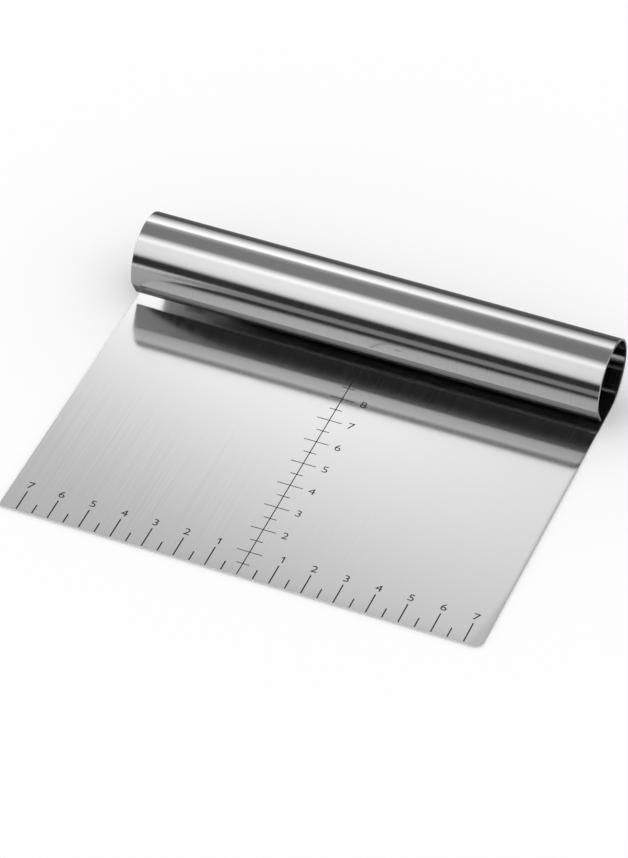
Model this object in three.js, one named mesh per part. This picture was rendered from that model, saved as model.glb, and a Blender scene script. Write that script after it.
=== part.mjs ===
// A dough scraper: a flat stainless blade whose far edge is rolled into an open tube for a handle,
// with a centimetre scale printed along the scraping edge and another up the middle of the blade.
// Millimetres, +Z up. The scraper lies on its back, so the blade's back face is the plane z = 0.
// X runs along the scraping edge and Y from the scraping edge to the handle.
// The origin is under the middle of the scraper.
import * as THREE from "three";

// Driving dimensions: the sheet
const SHEET_THICKNESS = 0.7;
const SHEET_WIDTH = 151; // the scraping edge, and the length of the roll
const OVERALL_LENGTH = 119.5; // from the scraping edge to the back of the roll
const CORNER_RADIUS = 2.4; // the two corners of the scraping edge

// Driving dimensions: the roll
const ROLL_DIAMETER = 24.8; // outside
const LIP_BEND_DIAMETER = 12; // outside of the tighter bend at the end of the roll
const LIP_BEND_DROP = 12; // degrees below the roll's axis at which that bend starts
const LIP_LEAN = 26; // degrees from upright of the straight lip after it
const ROLL_SLOT = 2.5; // height of the lip's free edge over the blade's front face

// Driving dimensions: the printed scale
const SCALE_STEP = 5; // from one mark to the next
const MARKS_PER_LONG_MARK = 2; // every second mark stands at a whole centimetre
const INK_THICKNESS = 0.05;
const EDGE_MARK_WIDTH = 0.38;
const CENTRE_LINE_WIDTH = 0.27;
const CROSS_MARK_WIDTH = 0.2;
const EDGE_CLEARANCE = 0.4; // from the scraping edge to the foot of each mark
const SIDE_CLEARANCE = 5; // least distance from the last edge mark to the side of the blade
const LONG_MARK = 7.7;
const SHORT_MARK = 3.7;
const LONG_CROSS_MARK = 7.9;
const SHORT_CROSS_MARK = 4.0;
const ROLL_CLEARANCE = 8; // least distance from the last cross mark to the roll
const CENTRE_LINE_OVERRUN = 3.5; // length of the centre line past its last cross mark

// Facets of the round stretches
const ROLL_FACETS = 144;
const LIP_BEND_FACETS = 8;
const CORNER_FACETS = 8;

// Places that follow from the sizes
const SCRAPING_EDGE_Y = -OVERALL_LENGTH / 2;
const ROLL_RADIUS = ROLL_DIAMETER / 2;
const BEND_Y = OVERALL_LENGTH / 2 - ROLL_RADIUS; // the flat blade ends and the roll starts here
const BLADE_REACH = OVERALL_LENGTH - ROLL_DIAMETER; // open face from the scraping edge to the roll

// Finishes
const stainless = () =>
  new THREE.MeshStandardMaterial({ color: 0xc9c9c7, roughness: 0.25, metalness: 1 });
const ink = () =>
  new THREE.MeshStandardMaterial({ color: 0x2b2b2b, roughness: 0.6, metalness: 0 });

// Turns a section drawn in the YZ plane and extruded along the third axis, so that it runs along X.
const SECTION_TO_WIDTH = new THREE.Matrix4().makeBasis(
  new THREE.Vector3(0, 1, 0),
  new THREE.Vector3(0, 0, 1),
  new THREE.Vector3(1, 0, 0),
);

// The flat sheet, from the scraping edge with its two round corners to the line where the bend starts.
function makeBlade() {
  const side = SHEET_WIDTH / 2;
  const cornerX = side - CORNER_RADIUS;
  const cornerY = SCRAPING_EDGE_Y + CORNER_RADIUS;
  const outline = new THREE.Shape();
  outline.moveTo(side, BEND_Y);
  outline.lineTo(-side, BEND_Y);
  outline.absarc(-cornerX, cornerY, CORNER_RADIUS, Math.PI, 1.5 * Math.PI, false);
  outline.absarc(cornerX, cornerY, CORNER_RADIUS, 1.5 * Math.PI, 2 * Math.PI, false);
  outline.closePath();
  const geometry = new THREE.ExtrudeGeometry(outline, {
    depth: SHEET_THICKNESS,
    bevelEnabled: false,
    curveSegments: CORNER_FACETS,
  });
  const blade = new THREE.Mesh(geometry, stainless());
  blade.name = "blade";
  return blade;
}

// The point at an angle round a centre, in the plane of a section.
function around(centre, radius, angle) {
  return new THREE.Vector2(Math.cos(angle), Math.sin(angle)).multiplyScalar(radius).add(centre);
}

// Points along an arc, both ends included.
function arc(centre, radius, start, end, facets) {
  const points = [];
  for (let i = 0; i <= facets; i++) {
    points.push(around(centre, radius, start + ((end - start) * i) / facets));
  }
  return points;
}

// One face of the rolled sheet in section, at a depth below the outer face: up from the bend line, round
// the back, over the top and down the front, then the tighter bend and the straight lip.
function makeRollLine(depth) {
  const bendStart = Math.PI + THREE.MathUtils.degToRad(LIP_BEND_DROP);
  const lean = THREE.MathUtils.degToRad(LIP_LEAN);
  const bendEnd = Math.PI + lean;
  const bendRadius = LIP_BEND_DIAMETER / 2;
  const axis = new THREE.Vector2(BEND_Y, ROLL_RADIUS);
  const bendAxis = around(axis, ROLL_RADIUS - bendRadius, bendStart);
  const lipTop = around(bendAxis, bendRadius, bendEnd).y;
  const lipLength = (lipTop - SHEET_THICKNESS - ROLL_SLOT) / Math.cos(lean);
  const roll = arc(axis, ROLL_RADIUS - depth, -Math.PI / 2, bendStart, ROLL_FACETS);
  const bend = arc(bendAxis, bendRadius - depth, bendStart, bendEnd, LIP_BEND_FACETS);
  const tip = around(bend[LIP_BEND_FACETS], lipLength, bendEnd + Math.PI / 2);
  return [...roll, ...bend.slice(1), tip];
}

// The rolled handle. Its lip stops above the blade, so an open slot is left along the whole width.
function makeHandleRoll() {
  const section = new THREE.Shape([...makeRollLine(0), ...makeRollLine(SHEET_THICKNESS).reverse()]);
  const geometry = new THREE.ExtrudeGeometry(section, { depth: SHEET_WIDTH, bevelEnabled: false });
  geometry.translate(0, 0, -SHEET_WIDTH / 2);
  geometry.applyMatrix4(SECTION_TO_WIDTH);
  const roll = new THREE.Mesh(geometry, stainless());
  roll.name = "handle_roll";
  return roll;
}

// One straight mark of the edge scale, standing on the scraping edge at a distance from the centre line.
function makeEdgeMark(name, x, length) {
  const geometry = new THREE.BoxGeometry(EDGE_MARK_WIDTH, length, INK_THICKNESS);
  geometry.translate(0, length / 2, INK_THICKNESS / 2);
  const mark = new THREE.Mesh(geometry, ink());
  mark.name = name;
  mark.position.set(x, EDGE_CLEARANCE, 0);
  return mark;
}

// The marks on both sides of the centre line, named by their distance from it in millimetres.
function makeEdgeMarks() {
  const marks = [];
  const perSide = Math.floor((SHEET_WIDTH / 2 - SIDE_CLEARANCE) / SCALE_STEP);
  for (let i = 1; i <= perSide; i++) {
    const distance = i * SCALE_STEP;
    const length = i % MARKS_PER_LONG_MARK === 0 ? LONG_MARK : SHORT_MARK;
    marks.push(makeEdgeMark(`edge_mark_left_${distance}`, -distance, length));
    marks.push(makeEdgeMark(`edge_mark_right_${distance}`, distance, length));
  }
  return marks;
}

// The centre line with its cross marks, one outline: up the right side and down the left.
function makeCentreScale() {
  const count = Math.floor((BLADE_REACH - ROLL_CLEARANCE) / SCALE_STEP);
  const top = count * SCALE_STEP + CENTRE_LINE_OVERRUN;
  const half = CENTRE_LINE_WIDTH / 2;
  const right = [new THREE.Vector2(half, EDGE_CLEARANCE)];
  for (let i = 1; i <= count; i++) {
    const y = i * SCALE_STEP;
    const reach = (i % MARKS_PER_LONG_MARK === 0 ? LONG_CROSS_MARK : SHORT_CROSS_MARK) / 2;
    const low = y - CROSS_MARK_WIDTH / 2;
    const high = y + CROSS_MARK_WIDTH / 2;
    right.push(new THREE.Vector2(half, low), new THREE.Vector2(reach, low));
    right.push(new THREE.Vector2(reach, high), new THREE.Vector2(half, high));
  }
  right.push(new THREE.Vector2(half, top));
  const left = right.map((p) => new THREE.Vector2(-p.x, p.y)).reverse();
  const geometry = new THREE.ExtrudeGeometry(new THREE.Shape([...right, ...left]), {
    depth: INK_THICKNESS,
    bevelEnabled: false,
  });
  const scale = new THREE.Mesh(geometry, ink());
  scale.name = "centre_scale";
  return scale;
}

// The printed scale, in its own frame: zero at the middle of the scraping edge, on the front face.
function makePrintedScale() {
  const scale = new THREE.Group();
  scale.position.set(0, SCRAPING_EDGE_Y, SHEET_THICKNESS);
  scale.add(makeCentreScale(), ...makeEdgeMarks());
  return scale;
}

const scraper = new THREE.Group();
scraper.add(makeBlade(), makeHandleRoll(), makePrintedScale());

export default scraper;
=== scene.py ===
"""Looks of the dough scraper: satin stainless sheet, printed scale, studio and camera.

Metres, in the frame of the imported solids: the blade lies on z = 0, X runs along the scraping edge,
Y from the scraping edge to the rolled handle, and the origin is under the middle of the scraper.
"""

import logging
import math
from dataclasses import dataclass
from enum import Enum
from typing import Any

import bmesh
import bpy
from mathutils import Matrix, Vector

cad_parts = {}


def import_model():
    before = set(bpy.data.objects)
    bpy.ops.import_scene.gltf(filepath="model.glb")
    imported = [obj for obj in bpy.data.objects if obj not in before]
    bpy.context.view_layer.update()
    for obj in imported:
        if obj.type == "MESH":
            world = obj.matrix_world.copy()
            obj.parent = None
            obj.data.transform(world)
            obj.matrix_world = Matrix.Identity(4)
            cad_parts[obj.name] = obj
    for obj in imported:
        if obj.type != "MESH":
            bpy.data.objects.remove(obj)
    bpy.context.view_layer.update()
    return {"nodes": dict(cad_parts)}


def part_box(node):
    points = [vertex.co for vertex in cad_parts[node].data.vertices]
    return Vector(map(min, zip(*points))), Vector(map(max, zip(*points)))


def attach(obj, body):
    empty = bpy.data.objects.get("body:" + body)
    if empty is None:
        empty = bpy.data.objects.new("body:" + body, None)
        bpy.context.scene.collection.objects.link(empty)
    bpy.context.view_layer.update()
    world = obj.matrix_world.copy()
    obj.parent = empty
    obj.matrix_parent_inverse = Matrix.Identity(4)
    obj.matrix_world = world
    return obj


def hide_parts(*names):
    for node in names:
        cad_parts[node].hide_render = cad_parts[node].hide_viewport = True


LOG = logging.getLogger("dough_scraper")
MM = 0.001
BODY = "root"
MIX_A, MIX_B, MIX_RESULT = 6, 7, 2  # the colour sockets of a Mix node, which share their names
NOISE_RANGE = (0.25, 0.75)  # between these lie nearly all values of a noise texture
LARGEST_FACE_ONLY = 100  # weight at which a corner takes the direction of its largest face
FRONT_HORIZON = 180  # degrees from the rear horizon over the top


def linear(hex_colour: str) -> tuple[float, float, float, float]:
    """Turns an sRGB colour into the linear one that a shader takes.

    Args:
        hex_colour: The colour as "#rrggbb".

    Returns:
        Red, green, blue and an alpha of 1.
    """
    channels = [int(hex_colour[i : i + 2], 16) / 255 for i in (1, 3, 5)]
    red, green, blue = (c / 12.92 if c <= 0.04045 else ((c + 0.055) / 1.055) ** 2.4 for c in channels)
    return red, green, blue, 1.0


def add_node(
    tree: bpy.types.NodeTree,
    kind: str,
    values: dict[str | int, Any] | None = None,
    links: dict[str | int, bpy.types.NodeSocket] | None = None,
    **settings: Any,
) -> bpy.types.Node:
    """Adds a node with its settings, values and links.

    Args:
        tree: The node tree that gets the node.
        kind: Blender's name for the node type.
        values: Constant for each input socket, by name or number.
        links: Socket that feeds each input socket, by name or number.
        **settings: The node's own properties.

    Returns:
        The new node.
    """
    node = tree.nodes.new(kind)
    for name, value in settings.items():
        setattr(node, name, value)
    for name, value in (values or {}).items():
        node.inputs[name].default_value = value
    for name, socket in (links or {}).items():
        tree.links.new(socket, node.inputs[name])
    return node


def add_ramp(
    tree: bpy.types.NodeTree,
    share: bpy.types.NodeSocket,
    colours: dict[float, tuple[float, float, float, float]],
) -> bpy.types.NodeSocket:
    """Adds a colour ramp.

    Args:
        tree: The node tree that gets the ramp.
        share: Socket that gives the place on the ramp, from 0 to 1.
        colours: Colour at each place, the first one at 0.

    Returns:
        The ramp's output.
    """
    ramp = add_node(tree, "ShaderNodeValToRGB", links={"Fac": share})
    stops = ramp.color_ramp.elements
    stops.remove(stops[0])
    stops[0].position = 0.0
    for position, colour in colours.items():
        stop = stops[0] if position == 0 else stops.new(position)
        stop.color = colour
    return ramp.outputs["Color"]


def new_material(name: str) -> bpy.types.Material:
    """Makes a material with an empty node tree.

    Args:
        name: The material's name.

    Returns:
        The material.
    """
    material = bpy.data.materials.new(name)
    material.use_nodes = True
    material.node_tree.nodes.clear()
    return material


def mesh_object(name: str, shape: bmesh.types.BMesh) -> bpy.types.Object:
    """Turns a bmesh into a scene object at the origin and frees it.

    Args:
        name: The object's name.
        shape: The finished shape, in place.

    Returns:
        The object, linked to the scene.
    """
    mesh = bpy.data.meshes.new(name)
    shape.to_mesh(mesh)
    shape.free()
    piece = bpy.data.objects.new(name, mesh)
    bpy.context.scene.collection.objects.link(piece)
    return piece


class Slot(Enum):
    """Material slots of the part's record."""

    SHEET = "stainless_sheet"
    INK = "scale_ink"


class Side(Enum):
    """Side of the centre line, seen from the scraping edge."""

    LEFT = -1
    RIGHT = 1


@dataclass(frozen=True)
class SatinStainless:
    """Cold rolled stainless steel sheet, brushed along its length before it was rolled up.

    The brush leaves fine lines that run from the scraping edge and on round the roll. They smear a
    reflection along the scraping edge and hardly at all along the lines. The flat sheet is a little
    wavy, which shows as faint clouds in what it mirrors.

    Attributes:
        light: Colour of the polished ridges between the brush lines.
        dark: Colour of the bottom of the brush lines.
        roughness: Least and greatest roughness.
        anisotropy: How much further a reflection smears across the lines than along them.
        line_width: Width of a bundle of brush lines. Single ones are about 0.02 mm, too fine to show.
        line_length: Length of a brush line.
        line_depth: Depth of a brush line.
        wave_length: Distance from one wave of the sheet to the next.
        wave_height: Height of a wave.
        uv_map: Name of the UV map that holds the unrolled sheet in metres.
    """

    light: str = "#c4c4c4"
    dark: str = "#b8b8b8"
    roughness: tuple[float, float] = (0.08, 0.18)
    anisotropy: float = 0.5
    line_width: float = 0.35 * MM
    line_length: float = 70 * MM
    line_depth: float = 0.0006 * MM
    wave_length: float = 26 * MM
    wave_height: float = 0.003 * MM
    uv_map: str = "unrolled_sheet"

    def build(self) -> bpy.types.Material:
        """Makes the material.

        Returns:
            The brushed steel, which reads the sheet's UV map.
        """
        material = new_material("stainless_steel_brushed_satin")
        tree = material.node_tree
        sheet = add_node(tree, "ShaderNodeUVMap", uv_map=self.uv_map).outputs["UV"]
        along_lines = add_node(
            tree,
            "ShaderNodeMapping",
            {"Scale": (1 / self.line_width, 1 / self.line_length, 1)},
            {"Vector": sheet},
        )
        lines = add_node(
            tree,
            "ShaderNodeTexNoise",
            {"Scale": 1.0, "Detail": 4.0, "Roughness": 0.65},
            {"Vector": along_lines.outputs["Vector"]},
            noise_dimensions="2D",
        ).outputs["Fac"]
        waves = add_node(
            tree,
            "ShaderNodeTexNoise",
            {"Scale": 1 / self.wave_length, "Detail": 2.0, "Roughness": 0.4},
            {"Vector": sheet},
            noise_dimensions="2D",
        ).outputs["Fac"]
        tint = add_node(
            tree,
            "ShaderNodeMix",
            {MIX_A: linear(self.dark), MIX_B: linear(self.light)},
            {"Factor": lines},
            data_type="RGBA",
        )
        faint, strong = NOISE_RANGE
        low, high = self.roughness
        blur = add_node(
            tree,
            "ShaderNodeMapRange",
            {"From Min": faint, "From Max": strong, "To Min": low, "To Max": high},
            {"Value": lines},
        )
        wavy = add_node(
            tree, "ShaderNodeBump", {"Strength": 1.0, "Distance": self.wave_height}, {"Height": waves}
        )
        relief = add_node(
            tree,
            "ShaderNodeBump",
            {"Strength": 1.0, "Distance": self.line_depth},
            {"Height": lines, "Normal": wavy.outputs["Normal"]},
        )
        across = add_node(tree, "ShaderNodeTangent", direction_type="UV_MAP", uv_map=self.uv_map)
        steel = add_node(
            tree,
            "ShaderNodeBsdfPrincipled",
            {"Metallic": 1.0, "Anisotropic": self.anisotropy},
            {
                "Base Color": tint.outputs[MIX_RESULT],
                "Roughness": blur.outputs["Result"],
                "Normal": relief.outputs["Normal"],
                "Tangent": across.outputs["Tangent"],
            },
        )
        add_node(tree, "ShaderNodeOutputMaterial", links={"Surface": steel.outputs["BSDF"]})
        return material


@dataclass(frozen=True)
class ShearedStainless:
    """Stainless steel as the shear left it on the cut edges, then tumbled to take the burr off.

    The edge is torn into fine grains, so it mirrors nothing clearly. Its colours are paler than the
    sheet's steel, a painted highlight that lightens the cut edges.

    Attributes:
        light: Colour of the cut band, paler than the sheet's steel as painted highlight.
        dark: Colour of the torn band, also made paler by the painted highlight.
        roughness: Roughness of the tumbled edge.
        grain_size: Width of a torn grain. Real ones are about 0.03 mm and too fine to show.
        grain_depth: Depth of a torn grain.
    """

    # Both colours sit well above the sheet's steel: painted highlight on the cut edges, with real grain
    # tone between them.
    light: str = "#f2f2f2"
    dark: str = "#dcdcdc"
    roughness: float = 0.38
    grain_size: float = 0.3 * MM
    grain_depth: float = 0.01 * MM

    def build(self) -> bpy.types.Material:
        """Makes the material.

        Returns:
            The sheared steel, which reads Object coordinates.
        """
        material = new_material("stainless_steel_sheared_edge")
        tree = material.node_tree
        place = add_node(tree, "ShaderNodeTexCoord").outputs["Object"]
        grains = add_node(
            tree,
            "ShaderNodeTexNoise",
            {"Scale": 1 / self.grain_size, "Detail": 2.0},
            {"Vector": place},
        ).outputs["Fac"]
        tint = add_node(
            tree,
            "ShaderNodeMix",
            {MIX_A: linear(self.dark), MIX_B: linear(self.light)},
            {"Factor": grains},
            data_type="RGBA",
        )
        relief = add_node(
            tree, "ShaderNodeBump", {"Strength": 0.5, "Distance": self.grain_depth}, {"Height": grains}
        )
        steel = add_node(
            tree,
            "ShaderNodeBsdfPrincipled",
            {"Metallic": 1.0, "Roughness": self.roughness},
            {"Base Color": tint.outputs[MIX_RESULT], "Normal": relief.outputs["Normal"]},
        )
        add_node(tree, "ShaderNodeOutputMaterial", links={"Surface": steel.outputs["BSDF"]})
        return material


@dataclass(frozen=True)
class EtchedBlack:
    """Black marking etched into the steel through a stencil.

    The etch is a thin matt oxide, so it is dark grey rather than black, a little mottled, and
    has almost no gloss.

    Attributes:
        dense: Colour where the etch took fully.
        thin: Colour where it took less.
        roughness: Roughness of the oxide.
        gloss: Specular level of the oxide.
        mottle_size: Width of a patch of thinner etch.
        mottle_depth: Depth of such a patch.
    """

    dense: str = "#161616"
    thin: str = "#2a2a2a"
    roughness: float = 0.75
    gloss: float = 0.2
    mottle_size: float = 0.6 * MM
    mottle_depth: float = 0.01 * MM

    def build(self) -> bpy.types.Material:
        """Makes the material.

        Returns:
            The etched black, which reads Object coordinates.
        """
        material = new_material("black_oxide_etched_matt")
        tree = material.node_tree
        place = add_node(tree, "ShaderNodeTexCoord").outputs["Object"]
        mottle = add_node(
            tree,
            "ShaderNodeTexNoise",
            {"Scale": 1 / self.mottle_size, "Detail": 2.0},
            {"Vector": place},
        ).outputs["Fac"]
        tint = add_node(
            tree,
            "ShaderNodeMix",
            {MIX_A: linear(self.dense), MIX_B: linear(self.thin)},
            {"Factor": mottle},
            data_type="RGBA",
        )
        relief = add_node(
            tree, "ShaderNodeBump", {"Strength": 0.3, "Distance": self.mottle_depth}, {"Height": mottle}
        )
        oxide = add_node(
            tree,
            "ShaderNodeBsdfPrincipled",
            {"Roughness": self.roughness, "Specular IOR Level": self.gloss},
            {"Base Color": tint.outputs[MIX_RESULT], "Normal": relief.outputs["Normal"]},
        )
        add_node(tree, "ShaderNodeOutputMaterial", links={"Surface": oxide.outputs["BSDF"]})
        return material


@dataclass
class RolledSheet:
    """The one stainless blank: a flat blade whose far edge is rolled into an open tube.

    Attributes:
        half_width: Half of the scraping edge.
        scraping_edge: Y of the scraping edge.
        bend: Y of the line where the roll starts.
        thickness: Thickness of the sheet.
        roll_radius: Outer radius of the roll.
        flat_radius: Outer radius of the flatter stretch on the roll's front.
        flat_span: Angles at which that stretch starts and ends, from the back over the top, in degrees.
        lip_bend_radius: Outer radius of the tighter bend at the end of the roll.
        lip_bend_span: Angles at which that bend starts and ends.
        lip_radius: Radius of the lip, which is almost straight.
        slot: Height of the lip's free edge over the blade's front face.
        left_corner: Radius of the left corner of the scraping edge, which came out sharper.
        right_corner: Radius of its right corner.
        corner_facets: Facets of each corner.
        deburr: Width of the rounding on every cut edge.
        deburr_facets: Facets across that rounding.
        draw_width: Width of the strip along the right side that the shear drew down.
        draw_depth: How far the shear drew the front face down at that side.
        corner_draw_width: Width of that strip at the right corner.
        corner_draw_depth: How far the front face is drawn down there.
        corner_draw_reach: Distance from the scraping edge at which the strip has its plain width.
        draw_steps: Facets across the strip, and along its wider stretch.
        facet_sag: How far the middle of a facet of the roll lies inside the true round.
        weld: Distance within which points of two stretches of the roll are joined.
    """

    half_width: float
    scraping_edge: float
    bend: float
    thickness: float
    roll_radius: float
    flat_radius: float = 21 * MM
    flat_span: tuple[float, float] = (157, 162)
    lip_bend_radius: float = 1.0 * MM
    lip_bend_span: tuple[float, float] = (189.2, 203.8)
    lip_radius: float = 68 * MM
    slot: float = 2.5 * MM
    left_corner: float = 0.8 * MM
    right_corner: float = 2.4 * MM
    corner_facets: int = 12
    deburr: float = 0.09 * MM
    deburr_facets: int = 3
    draw_width: float = 0.9 * MM
    draw_depth: float = 0.06 * MM
    corner_draw_width: float = 4.4 * MM
    corner_draw_depth: float = 0.28 * MM
    corner_draw_reach: float = 30 * MM
    draw_steps: int = 8
    facet_sag: float = 0.0007 * MM
    weld: float = 0.0009 * MM

    @classmethod
    def from_frame(cls) -> "RolledSheet":
        """Takes the sheet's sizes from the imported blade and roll.

        Returns:
            The sheet, not built yet.
        """
        blade_low, blade_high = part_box("blade")
        roll_low, roll_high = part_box("handle_roll")
        return cls(
            half_width=blade_high.x,
            scraping_edge=blade_low.y,
            bend=blade_high.y,
            thickness=blade_high.z - blade_low.z,
            roll_radius=(roll_high.z - roll_low.z) / 2,
        )

    def build(self, brushed: bpy.types.Material, sheared: bpy.types.Material) -> bpy.types.Object:
        """Models the sheet and gives it its finishes.

        Args:
            brushed: The finish of the sheet's two faces.
            sheared: The finish of its cut edges, which carries a painted highlight.

        Returns:
            The sheet, which stands for the blade and the roll.
        """
        shape = bmesh.new()
        self._add_blade(shape)
        self._draw_side_down(shape)
        self._roll_far_edge(shape)
        self._deburr_edges(shape)
        self._unroll(shape)
        for face in shape.faces:
            face.smooth = True
            face.material_index = int(self._is_cut(face))
        piece = mesh_object("rolled_sheet", shape)
        piece.data.materials.append(brushed)
        piece.data.materials.append(sheared)
        flat = piece.modifiers.new("flat_faces_stay_flat", "WEIGHTED_NORMAL")
        flat.weight = LARGEST_FACE_ONLY
        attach(piece, BODY)
        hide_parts("blade", "handle_roll")
        return piece

    def _add_blade(self, shape: bmesh.types.BMesh) -> None:
        """Adds the flat blade and rounds the corners of its scraping edge.

        Args:
            shape: The empty bmesh.
        """
        size = (2 * self.half_width, self.bend - self.scraping_edge, self.thickness)
        middle = Vector((0, (self.bend + self.scraping_edge) / 2, self.thickness / 2))
        place = Matrix.Translation(middle) @ Matrix.Diagonal((*size, 1))
        bmesh.ops.create_cube(shape, size=1, matrix=place)
        for side, radius in ((Side.LEFT, self.left_corner), (Side.RIGHT, self.right_corner)):
            corner = [
                edge
                for edge in shape.edges
                if all(v.co.y < middle.y and v.co.x * side.value > 0 for v in edge.verts)
                and abs(edge.verts[0].co.z - edge.verts[1].co.z) > self.thickness / 2
            ]
            bmesh.ops.bevel(
                shape,
                geom=corner,
                offset=radius,
                segments=self.corner_facets,
                profile=0.5,
                affect="EDGES",
                material=-1,
            )

    def _draw_side_down(self, shape: bmesh.types.BMesh) -> None:
        """Lowers the front face towards the right side, where the shear drew it down.

        Args:
            shape: The bmesh that holds the flat blade.
        """
        for step in range(1, self.draw_steps + 1):
            share = step / self.draw_steps
            across = self.half_width - self.corner_draw_width * share**2
            along = self.scraping_edge + self.corner_draw_reach * share
            for place, normal in (((across, 0, 0), (1, 0, 0)), ((0, along, 0), (0, 1, 0))):
                geom = [*shape.verts, *shape.edges, *shape.faces]
                bmesh.ops.bisect_plane(shape, geom=geom, plane_co=place, plane_no=normal)
        for vert in shape.verts:
            if vert.co.z > self.thickness / 2:
                vert.co.z -= self._drawn(vert.co)

    def _drawn(self, point: Vector) -> float:
        """Works out how far the shear drew a point of the front face down.

        Args:
            point: A point of the flat blade.

        Returns:
            The distance downwards, 0 away from the right side.
        """
        near = max(0.0, 1 - (point.y - self.scraping_edge) / self.corner_draw_reach)
        width = self.draw_width + (self.corner_draw_width - self.draw_width) * near**2
        depth = self.draw_depth + (self.corner_draw_depth - self.draw_depth) * near**2
        past = max(0.0, (point.x - self.half_width + width) / width)
        return depth * past**2

    def _roll_far_edge(self, shape: bmesh.types.BMesh) -> None:
        """Rolls the sheet up from the bend, round the back, over the top and down the front to its lip.

        Args:
            shape: The bmesh that holds the blade.
        """
        end = [f for f in shape.faces if f.calc_center_median().y > self.bend - self.deburr]
        centre = Vector((0, self.bend, self.roll_radius))
        radius = self.roll_radius
        angle = math.radians(-90)
        for next_radius, next_degrees in (
            (self.roll_radius, self.flat_span[0]),
            (self.flat_radius, self.flat_span[1]),
            (self.roll_radius, self.lip_bend_span[0]),
            (self.lip_bend_radius, self.lip_bend_span[1]),
            (self.lip_radius, None),
        ):
            centre = centre + self._outward(angle) * (radius - next_radius)
            if next_degrees is None:
                next_angle = math.pi + math.asin((centre.z - self.thickness - self.slot) / next_radius)
            else:
                next_angle = math.radians(next_degrees)
            turn = next_angle - angle
            widest_facet = math.sqrt(8 * self.facet_sag / next_radius)
            steps = math.ceil(turn / widest_facet)
            spun = bmesh.ops.spin(shape, geom=end, cent=centre, axis=(1, 0, 0), angle=turn, steps=steps)
            # The faces that a spin starts from stay behind inside the sheet.
            inside = [face for face in end if face.is_valid]
            bmesh.ops.delete(shape, geom=inside, context="FACES")
            end = [g for g in spun["geom_last"] if isinstance(g, bmesh.types.BMFace)]
            radius = next_radius
            angle = next_angle
        bmesh.ops.remove_doubles(shape, verts=shape.verts, dist=self.weld)
        bmesh.ops.recalc_face_normals(shape, faces=shape.faces)

    @staticmethod
    def _outward(angle: float) -> Vector:
        """Gives the direction at an angle round the roll, from its back over its top."""
        return Vector((0, math.cos(angle), math.sin(angle)))

    def _deburr_edges(self, shape: bmesh.types.BMesh) -> None:
        """Rounds every cut edge of the sheet.

        Args:
            shape: The bmesh that holds the blade and the roll.
        """
        square = math.radians(45)
        cut = [e for e in shape.edges if e.is_manifold and e.calc_face_angle() > square]
        bmesh.ops.bevel(
            shape,
            geom=cut,
            offset=self.deburr,
            segments=self.deburr_facets,
            profile=0.5,
            affect="EDGES",
            material=-1,
        )

    def _unroll(self, shape: bmesh.types.BMesh) -> None:
        """Gives the sheet a UV map that is the flat blank, in metres.

        Args:
            shape: The finished bmesh.
        """
        uv = shape.loops.layers.uv.new(SatinStainless.uv_map)
        for face in shape.faces:
            for loop in face.loops:
                loop[uv].uv = (loop.vert.co.x, self._along_blank(loop.vert.co))

    def _along_blank(self, point: Vector) -> float:
        """Measures how far a point lies from the scraping edge along the flat blank.

        Args:
            point: A point of the sheet.

        Returns:
            The distance before the sheet was rolled up.
        """
        blade_reach = self.bend - self.scraping_edge
        if self._on_blade(point):
            return point.y - self.scraping_edge
        turned = math.atan2(point.y - self.bend, self.roll_radius - point.z) % (2 * math.pi)
        return blade_reach + turned * (self.roll_radius - self.thickness / 2)

    def _on_blade(self, point: Vector) -> bool:
        """Tells a point of the flat blade from one of the roll."""
        return point.y <= self.bend and point.z <= self.thickness + self.deburr

    def _is_cut(self, face: bmesh.types.BMFace) -> bool:
        """Tells a face of a cut edge, which leans away from the sheet, from the sheet's own faces.

        Args:
            face: A face of the finished bmesh.

        Returns:
            Whether the shear left this face.
        """
        lean = math.radians(30)
        middle = face.calc_center_median()
        square = Vector((0, 0, 1))
        if not self._on_blade(middle):
            square = Vector((0, middle.y - self.bend, middle.z - self.roll_radius)).normalized()
        return abs(face.normal.dot(square)) < math.cos(lean)


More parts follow.
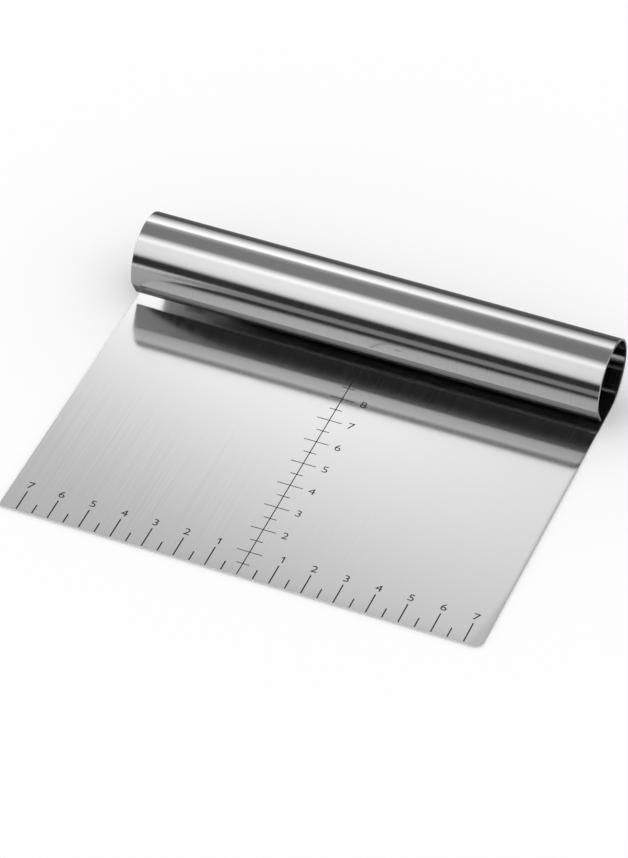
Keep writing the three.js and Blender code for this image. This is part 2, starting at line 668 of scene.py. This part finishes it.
@dataclass
class PrintedScale:
    """The centimetre scale: its packed marks, and the plain numbers beside them.

    Attributes:
        zero: Middle of the scraping edge on the blade's front face.
        thickness: Thickness of the marking.
        centimetre: Distance between two numbers.
        last_edge_number: Highest number on each side of the scraping edge.
        centre_numbers: First and last number beside the centre line.
        edge_number_height: Height of a number along the scraping edge.
        edge_number_foot: Distance from the scraping edge to the foot of its numbers.
        centre_number_height: Height of a number beside the centre line.
        centre_number_shift: Distance from the centre line to the middle of its numbers.
        edge_weight: How far the strokes of an edge number are thickened on each side, as a share of the
            type size.
        centre_weight: The same for a number beside the centre line.
        breadth: How much wider a number is drawn than the type.
        type_depth: Thickness of the type, before it is scaled to the marking's.
        type_facets: Facets of each curve of the type.
        type_weld: Distance within which points of the type are joined, as a share of its size.
        one: Outline of the number 1, with its flag, as shares of its height.
    """

    zero: Vector
    thickness: float
    centimetre: float = 10 * MM
    last_edge_number: int = 7
    centre_numbers: tuple[int, int] = (2, 8)
    edge_number_height: float = 2.5 * MM
    edge_number_foot: float = 9.55 * MM
    centre_number_height: float = 2.5 * MM
    centre_number_shift: float = 6.95 * MM
    edge_weight: float = -0.008
    centre_weight: float = -0.012
    breadth: float = 1.22
    type_depth: float = 0.1
    type_facets: int = 6
    type_weld: float = 1e-4
    one: tuple[tuple[float, float], ...] = (
        (0.23, 0.0),
        (0.37, 0.0),
        (0.37, 1.0),
        (0.28, 1.0),
        (0.0, 0.80),
        (0.0, 0.67),
        (0.23, 0.80),
    )

    @classmethod
    def from_frame(cls) -> "PrintedScale":
        """Takes the scale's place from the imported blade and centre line.

        Returns:
            The scale, not built yet.
        """
        blade_low, blade_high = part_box("blade")
        line_low, line_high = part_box("centre_scale")
        zero = Vector(((line_low.x + line_high.x) / 2, blade_low.y, blade_high.z))
        return cls(zero=zero, thickness=line_high.z - blade_high.z)

    def dress(self, nodes: dict[str, bpy.types.Object], black: bpy.types.Material) -> list[str]:
        """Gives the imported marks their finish.

        Args:
            nodes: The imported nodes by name.
            black: The finish of the scale.

        Returns:
            The names of the marks.
        """
        marks = [n for n in sorted(nodes) if n == "centre_scale" or n.startswith("edge_mark_")]
        for name in marks:
            for slot in nodes[name].material_slots:
                slot.material = black
        return marks

    def build(self, black: bpy.types.Material) -> list[bpy.types.Object]:
        """Makes the numbers of both scales.

        Args:
            black: The finish of the scale.

        Returns:
            One piece for each number.
        """
        numbers = []
        for side in Side:
            for value in range(1, self.last_edge_number + 1):
                height = self.edge_number_height
                across = side.value * value * self.centimetre
                up = self.edge_number_foot + height / 2
                name = f"edge_number_{side.name.lower()}_{value}"
                numbers.append(self._number(name, value, across, up, height, self.edge_weight))
        first, last = self.centre_numbers
        for value in range(first, last + 1):
            up = value * self.centimetre
            name = f"centre_number_{value}"
            height = self.centre_number_height
            shift = self.centre_number_shift
            numbers.append(self._number(name, value, shift, up, height, self.centre_weight))
        for piece in numbers:
            piece.data.materials.append(black)
            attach(piece, BODY)
        return numbers

    def _number(
        self, name: str, value: int, across: float, up: float, height: float, weight: float
    ) -> bpy.types.Object:
        """Makes one number as a thin solid on the blade.

        Args:
            name: The piece's name.
            value: The number.
            across: Distance of its middle from the centre line.
            up: Distance of its middle from the scraping edge.
            height: Height of the number.
            weight: How far its strokes are thickened on each side.

        Returns:
            The number as a mesh in its place.
        """
        shape = self._drawn_one() if value == 1 else self._typed(value, weight)
        low = Vector([min(v.co[i] for v in shape.verts) for i in range(3)])
        high = Vector([max(v.co[i] for v in shape.verts) for i in range(3)])
        size = high - low
        scale = height / size.y
        breadth = scale if value == 1 else scale * self.breadth
        middle = (low + high) / 2
        target = self.zero + Vector((across, up, self.thickness / 2))
        place = (
            Matrix.Translation(target)
            @ Matrix.Diagonal((breadth, scale, self.thickness / size.z, 1))
            @ Matrix.Translation(-middle)
        )
        bmesh.ops.transform(shape, matrix=place, verts=shape.verts)
        bmesh.ops.recalc_face_normals(shape, faces=shape.faces)
        return mesh_object(name, shape)

    def _drawn_one(self) -> bmesh.types.BMesh:
        """Draws the number 1 from its outline.

        Returns:
            A flat solid, one unit high.
        """
        shape = bmesh.new()
        outline = [shape.verts.new((*point, 0)) for point in self.one]
        face = shape.faces.new(outline)
        grown = bmesh.ops.extrude_face_region(shape, geom=[face], use_keep_orig=True)["geom"]
        top = [v for v in grown if isinstance(v, bmesh.types.BMVert)]
        bmesh.ops.translate(shape, verts=top, vec=(0, 0, 1))
        return shape

    def _typed(self, value: int, weight: float) -> bmesh.types.BMesh:
        """Sets a number in plain type.

        Args:
            value: The number.
            weight: How far its strokes are thickened on each side.

        Returns:
            A flat solid of the type's own size.
        """
        text = bpy.data.curves.new(f"type_{value}", "FONT")
        text.body = str(value)
        text.extrude = self.type_depth
        text.offset = weight
        text.resolution_u = self.type_facets
        drawn = bpy.data.objects.new(text.name, text)
        shape = bmesh.new()
        shape.from_mesh(drawn.to_mesh())
        drawn.to_mesh_clear()
        bpy.data.objects.remove(drawn)
        bpy.data.curves.remove(text)
        bmesh.ops.remove_doubles(shape, verts=shape.verts, dist=self.type_weld)
        return shape


@dataclass(frozen=True)
class LightPanel:
    """One strip of the light tent that the steel mirrors.

    Attributes:
        start: Angle where its level begins, from the rear horizon over the top, in degrees.
        end: Angle where its level ends.
        level: Brightness where it is brightest, where 1 is white.
        brightest: X at which it is brightest.
    """

    start: float
    end: float
    level: float
    brightest: float = -1.22


class TentPanel(Enum):
    """The strips of the light tent, from the rear horizon over the top to the front horizon."""

    REAR_FLAG = LightPanel(0, 6, 0.12)
    REAR_SKIRT = LightPanel(20, 20, 0.85)
    REAR_SOFTBOX = LightPanel(35, 40, 1.86)
    SOFTBOX_RIM = LightPanel(45, 45, 3.12, brightest=-1.95)
    SOFTBOX_HEM = LightPanel(49.5, 49.5, 1.16, brightest=-1.95)
    ROOF_GLOW = LightPanel(54, 54, 0.6, brightest=-1.5)
    ROOF = LightPanel(62, 92, 0.38)
    FRONT_STRIP = LightPanel(108, 112, 2.02)
    FRONT_SOFTBOX = LightPanel(118, 134, 1.58)
    FRONT_SKIRT = LightPanel(150, 150, 1.42)
    SKIRT_HEM = LightPanel(156.5, 156.5, 0.86)
    FRONT_FLAG = LightPanel(161, 180, 0.045)


@dataclass
class Studio:
    """White floor, white surroundings, and the tent and cards that only the steel mirrors.

    Attributes:
        floor_size: Half of the floor's width.
        floor_gap: How far the floor lies under the blade, so that the two don't share a plane.
        floor_colour: Matt white of the floor.
        tent_radius: Radius of the half round tent.
        tent_reach: Half of the tent's length.
        tent_facets: Facets round the tent.
        mirrored_middle: X of the tent that the middle of the blade mirrors.
        panel_slope: How far the panels' angle rises along X, in degrees for each metre.
        light_width: Distance along X at which a panel's light has fallen to half.
        most_dimming: How many times dimmer than its brightest place a panel is at most.
        rear_card: Lowest and highest X and Y of the graded card behind the scraper.
        rear_greys: Colours of that card, each with its Y.
        front_card: Lowest and highest X and Y of the grey card in front of the scraper.
        front_slant: How far the front card leans to the left for each metre away from the scraper.
        front_grey: Colour of that card.
        left_card: Lowest and highest X and Y of the pale card to the left of the blade.
        left_grey: Colour of that card.
    """

    floor_size: float = 12.0
    floor_gap: float = 0.05 * MM
    floor_colour: str = "#fefefe"
    tent_radius: float = 4.0
    tent_reach: float = 6.0
    tent_facets: int = 120
    mirrored_middle: float = -1.18
    panel_slope: float = 8.0
    light_width: float = 0.9
    most_dimming: float = 3.0
    rear_card: tuple[float, float, float, float] = (-1.5, 1.5, 0.036, 3.0)
    rear_greys: tuple[tuple[float, str], ...] = (
        (0.095, "#848484"),
        (0.12, "#787878"),
        (0.20, "#686868"),
        (0.36, "#626262"),
    )
    front_card: tuple[float, float, float, float] = (-0.10, 1.5, -3.9, -0.0605)
    front_slant: float = 0.29
    front_grey: str = "#9c9c9c"
    left_card: tuple[float, float, float, float] = (-1.5, -0.0755, -0.125, 0.036)
    left_grey: str = "#d2d2d2"

    def build(self) -> None:
        """Sets up the floor, the surroundings, the tent and the cards."""
        self._add_surroundings()
        floor = self._add_floor()
        tent = self._add_tent()
        rear = self._add_card("rear_card", self.rear_card)
        rear.data.materials.append(self._graded_matt())
        front = self._add_card("front_card", self.front_card, self.front_slant)
        front.data.materials.append(self._matt("front_card_matt", self.front_grey))
        left = self._add_card("left_card", self.left_card)
        left.data.materials.append(self._matt("left_card_matt", self.left_grey))
        for reflected in (tent, rear, front, left):
            reflected.visible_camera = False
            reflected.visible_diffuse = False
            reflected.visible_transmission = False
            reflected.visible_shadow = False

    def _add_surroundings(self) -> None:
        """Lights the scene evenly with white."""
        world = bpy.data.worlds.new("white_surroundings")
        world.use_nodes = True
        tree = world.node_tree
        tree.nodes.clear()
        white = add_node(
            tree, "ShaderNodeBackground", {"Color": linear("#ffffff"), "Strength": 1.0}
        )
        add_node(tree, "ShaderNodeOutputWorld", links={"Surface": white.outputs["Background"]})
        bpy.context.scene.world = world

    @staticmethod
    def _matt(name: str, colour: str) -> bpy.types.Material:
        """Makes a plain matt material for a stage piece.

        Args:
            name: The material's name.
            colour: Its colour.

        Returns:
            The material.
        """
        material = new_material(name)
        tree = material.node_tree
        paint = add_node(tree, "ShaderNodeBsdfDiffuse", {"Color": linear(colour)})
        add_node(tree, "ShaderNodeOutputMaterial", links={"Surface": paint.outputs["BSDF"]})
        return material

    def _add_floor(self) -> bpy.types.Object:
        """Lays the floor.

        Returns:
            The floor.
        """
        shape = bmesh.new()
        place = Matrix.Translation((0, 0, -self.floor_gap))
        bmesh.ops.create_grid(shape, x_segments=1, y_segments=1, size=self.floor_size, matrix=place)
        floor = mesh_object("studio_floor", shape)
        floor.data.materials.append(self._matt("white_card_matt", self.floor_colour))
        return floor

    def _add_card(
        self, name: str, area: tuple[float, float, float, float], slant: float = 0.0
    ) -> bpy.types.Object:
        """Lays a card on the floor, which the roll mirrors.

        Args:
            name: The card's name.
            area: Its lowest and highest X and Y.
            slant: How far it leans to the left for each metre towards the front.

        Returns:
            The card, without a material.
        """
        left, right, near, far = area
        shape = bmesh.new()
        middle = Vector(((left + right) / 2, (near + far) / 2, self.floor_gap))
        size = Matrix.Diagonal(((right - left) / 2, (far - near) / 2, 1, 1))
        place = Matrix.Translation(middle) @ size
        bmesh.ops.create_grid(shape, x_segments=1, y_segments=1, size=1, matrix=place)
        for vert in shape.verts:
            vert.co.x -= slant * (far - vert.co.y)
        return mesh_object(name, shape)

    def _graded_matt(self) -> bpy.types.Material:
        """Makes the rear card's finish, which darkens away from the scraper.

        Returns:
            The material, which reads Object coordinates.
        """
        nearest = self.rear_greys[0][0]
        furthest = self.rear_greys[-1][0]
        material = new_material("rear_card_graded_matt")
        tree = material.node_tree
        place = add_node(tree, "ShaderNodeTexCoord").outputs["Object"]
        split = add_node(tree, "ShaderNodeSeparateXYZ", links={"Vector": place})
        share = add_node(
            tree,
            "ShaderNodeMapRange",
            {"From Min": nearest, "From Max": furthest},
            {"Value": split.outputs["Y"]},
        )
        colours = {(y - nearest) / (furthest - nearest): linear(grey) for y, grey in self.rear_greys}
        graded = add_ramp(tree, share.outputs["Result"], colours)
        paint = add_node(tree, "ShaderNodeBsdfDiffuse", links={"Color": graded})
        add_node(tree, "ShaderNodeOutputMaterial", links={"Surface": paint.outputs["BSDF"]})
        return material

    def _add_tent(self) -> bpy.types.Object:
        """Bends a half round tent of light panels over the scraper.

        Returns:
            The tent.
        """
        shape = bmesh.new()
        ends = [shape.verts.new((x, self.tent_radius, 0)) for x in (-self.tent_reach, self.tent_reach)]
        rail = shape.edges.new(ends)
        bmesh.ops.spin(
            shape,
            geom=[*ends, rail],
            cent=(0, 0, 0),
            axis=(1, 0, 0),
            angle=math.pi,
            steps=self.tent_facets,
        )
        for face in shape.faces:
            face.smooth = True
        tent = mesh_object("light_tent", shape)
        tent.data.materials.append(self._tent_light())
        return tent

    def _tent_light(self) -> bpy.types.Material:
        """Makes the tent's light, which changes from panel to panel with the angle.

        Returns:
            The material.
        """
        highest = max(panel.value.level for panel in TentPanel)
        material = new_material("light_panels")
        tree = material.node_tree
        place = add_node(tree, "ShaderNodeTexCoord").outputs["Object"]
        split = add_node(tree, "ShaderNodeSeparateXYZ", links={"Vector": place})
        angle = add_node(
            tree,
            "ShaderNodeMath",
            links={0: split.outputs["Z"], 1: split.outputs["Y"]},
            operation="ARCTAN2",
        ).outputs["Value"]
        aside = add_node(
            tree,
            "ShaderNodeMath",
            {1: self.mirrored_middle},
            {0: split.outputs["X"]},
            operation="SUBTRACT",
        )
        sloped = add_node(
            tree,
            "ShaderNodeMath",
            {1: -math.radians(self.panel_slope)},
            {0: aside.outputs["Value"], 2: angle},
            operation="MULTIPLY_ADD",
        )
        share = add_node(
            tree,
            "ShaderNodeMapRange",
            {"From Min": 0.0, "From Max": math.pi},
            {"Value": sloped.outputs["Value"]},
        )
        levels = {panel: panel.value.level / highest for panel in TentPanel}
        middles = {panel: -panel.value.brightest / self.tent_reach for panel in TentPanel}
        light = self._panel_ramp(tree, share.outputs["Result"], levels)
        away = add_node(
            tree,
            "ShaderNodeMath",
            {1: self.tent_reach},
            {0: self._panel_ramp(tree, share.outputs["Result"], middles), 2: split.outputs["X"]},
            operation="MULTIPLY_ADD",
        )
        widths = add_node(
            tree, "ShaderNodeMath", {1: self.light_width}, {0: away.outputs["Value"]}, operation="DIVIDE"
        ).outputs["Value"]
        spread = add_node(
            tree, "ShaderNodeMath", {2: 1.0}, {0: widths, 1: widths}, operation="MULTIPLY_ADD"
        ).outputs["Value"]
        dimming = add_node(
            tree, "ShaderNodeMath", {1: self.most_dimming}, {0: spread}, operation="MINIMUM"
        ).outputs["Value"]
        strength = add_node(tree, "ShaderNodeMath", {0: highest}, {1: dimming}, operation="DIVIDE")
        glow = add_node(
            tree,
            "ShaderNodeEmission",
            links={"Color": light, "Strength": strength.outputs["Value"]},
        )
        add_node(tree, "ShaderNodeOutputMaterial", links={"Surface": glow.outputs["Emission"]})
        return material

    @staticmethod
    def _panel_ramp(
        tree: bpy.types.NodeTree, share: bpy.types.NodeSocket, greys: dict[TentPanel, float]
    ) -> bpy.types.NodeSocket:
        """Adds a ramp over the tent that runs from one panel's grey to the next one's.

        Args:
            tree: The tree that gets the ramp.
            share: Share of the way from the rear horizon to the front horizon.
            greys: Grey of each panel.

        Returns:
            The ramp's output.
        """
        colours = {
            degrees / FRONT_HORIZON: (grey, grey, grey, 1.0)
            for panel, grey in greys.items()
            for degrees in sorted({panel.value.start, panel.value.end})
        }
        return add_ramp(tree, share, colours)


@dataclass(frozen=True)
class PhotoCamera:
    """The camera at the photograph's viewing angle.

    Attributes:
        target: Point of the blade in the middle of the picture.
        azimuth: Angle round the scraper from its scraping edge towards its right side, in degrees.
        elevation: Angle over the blade, in degrees.
        tilt: Turn of the picture about its middle, in degrees.
        distance: Distance from the target.
        lens: Focal length in millimetres.
        sensor: Length of the sensor in millimetres, along the picture's long side.
    """

    target: tuple[float, float, float] = (-2.77 * MM, 5.03 * MM, 0.7 * MM)
    azimuth: float = 22.84
    elevation: float = 43.48
    tilt: float = -0.21
    distance: float = 1365.0 * MM
    lens: float = 192.94
    sensor: float = 36.0

    def build(self) -> bpy.types.Object:
        """Sets up the camera.

        Returns:
            The scene's camera.
        """
        around = math.radians(self.azimuth)
        above = math.radians(self.elevation)
        turn = math.radians(self.tilt)
        level = math.cos(above)
        back = Vector((math.sin(around) * level, -math.cos(around) * level, math.sin(above)))
        right = Vector((math.cos(around), math.sin(around), 0))
        right = right * math.cos(turn) + back.cross(right) * math.sin(turn)
        up = back.cross(right)
        data = bpy.data.cameras.new("photo_camera")
        data.lens = self.lens
        data.sensor_width = self.sensor
        camera = bpy.data.objects.new("photo_camera", data)
        bpy.context.scene.collection.objects.link(camera)
        axes = Matrix((right, up, back)).transposed().to_4x4()
        camera.matrix_world = Matrix.Translation(Vector(self.target) + back * self.distance) @ axes
        bpy.context.scene.camera = camera
        return camera


def main() -> None:
    """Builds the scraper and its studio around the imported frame."""
    logging.basicConfig(level=logging.INFO, format="%(name)s: %(message)s")
    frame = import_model()
    PhotoCamera().build()
    Studio().build()
    black = EtchedBlack().build()
    sheet = RolledSheet.from_frame().build(SatinStainless().build(), ShearedStainless().build())
    LOG.info("%s: %d faces", sheet.name, len(sheet.data.polygons))
    scale = PrintedScale.from_frame()
    for mark in scale.dress(frame["nodes"], black):
        LOG.info("%s: packed mark, dressed", mark)
    for number in scale.build(black):
        LOG.info("%s: %d faces", number.name, len(number.data.polygons))
    bpy.context.scene.view_settings.view_transform = "Standard"


if __name__ == "__main__":
    main()
